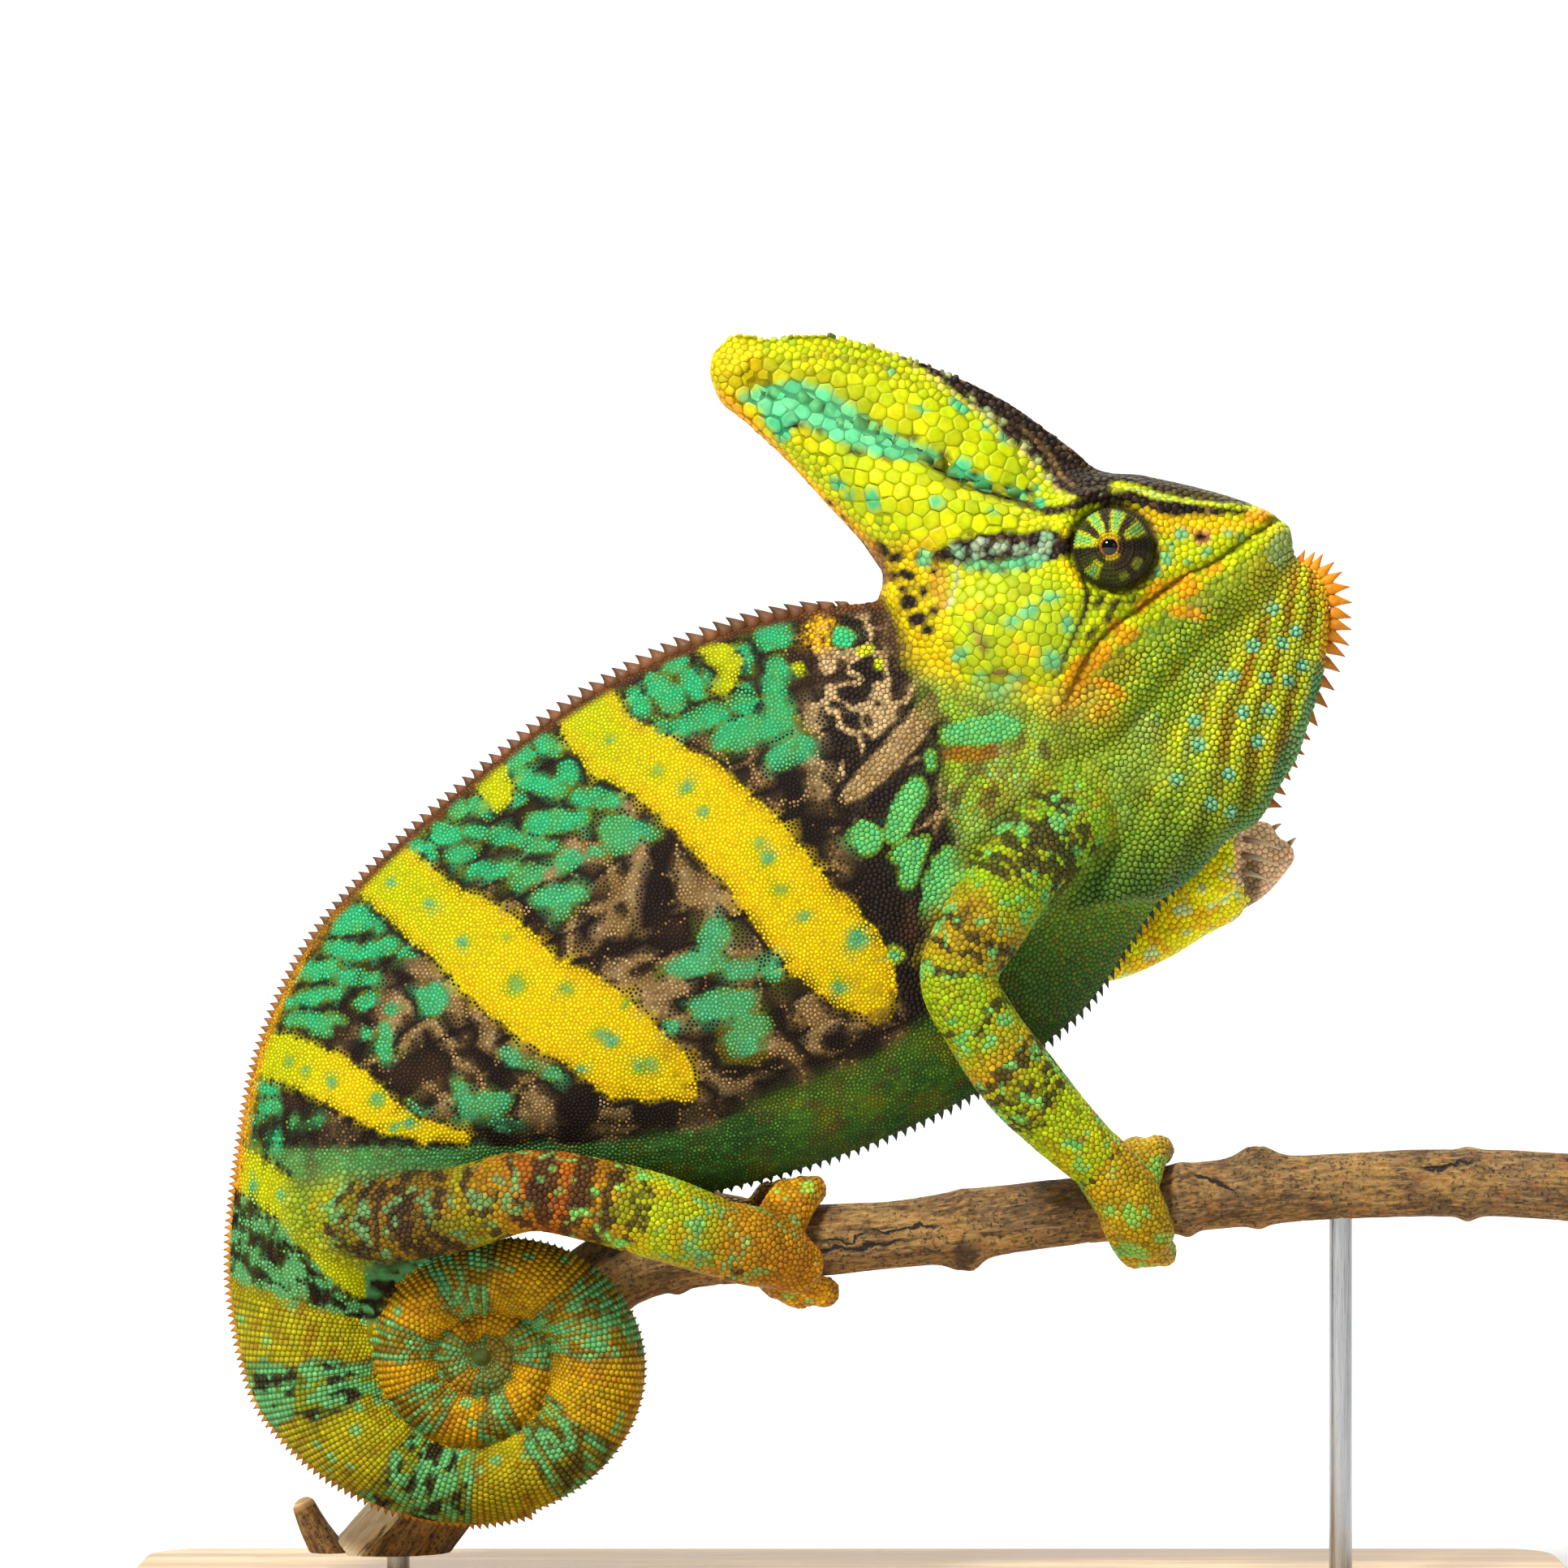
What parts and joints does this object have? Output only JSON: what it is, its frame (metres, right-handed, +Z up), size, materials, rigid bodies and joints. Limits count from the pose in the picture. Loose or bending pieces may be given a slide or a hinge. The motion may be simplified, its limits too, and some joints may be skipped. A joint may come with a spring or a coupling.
{
  "type": "veiled chameleon model",
  "caption": "Life-size still model of an adult male veiled chameleon gripping a short cut branch, held over a flat wooden base by short steel rods.",
  "frame": {"origin": "middle of the underside of the wooden base", "axes": "+Z up, +X the way the animal faces, +Y towards its left side"},
  "size_m": [0.254, 0.11, 0.2282],
  "materials": {
    "skin_head": "dry satin scales, lime yellow with dark brown and turquoise",
    "skin_body": "dry satin scales, yellow bands over green and dark brown",
    "skin_tail": "dry satin scales, yellow and teal rings",
    "skin_limbs": "dry satin scales, yellow and orange with pale teal spots",
    "eyelid": "fine dry scales, olive brown with green rays",
    "eye": "wet gloss",
    "bark": "dry brown bark with a bare pale strip",
    "base_wood": "pale maple, satin",
    "rod_steel": "brushed"
  },
  "bodies": {
    "root": {"casque": "skin_head", "head": "skin_head", "lower_jaw": "skin_head", "throat": "skin_body", "eye_turret_right": "eyelid", "eye_turret_left": "eyelid", "eye_right": "eye", "eye_left": "eye", "neck": "skin_body", "trunk_front": "skin_body", "trunk_rear": "skin_body", "tail_base": "skin_tail", "tail_outer": "skin_tail", "tail_middle": "skin_tail", "tail_inner": "skin_tail", "upper_arm_right": "skin_limbs", "forearm_right": "skin_limbs", "hand_right_top_toes": "skin_limbs", "hand_right_low_toes": "skin_limbs", "upper_arm_left": "skin_limbs", "forearm_left": "skin_limbs", "hand_left_far_toes": "skin_limbs", "hand_left_near_toes": "skin_limbs", "thigh_right": "skin_limbs", "shin_right": "skin_limbs", "foot_right_top_toes": "skin_limbs", "foot_right_low_toes": "skin_limbs", "thigh_left": "skin_limbs", "shin_left": "skin_limbs", "foot_left_top_toes": "skin_limbs", "foot_left_low_toes": "skin_limbs", "perch_branch": "bark", "stand_base": "base_wood", "stand_rod_rear": "rod_steel", "stand_rod_front": "rod_steel"}
  },
  "joints": []
}
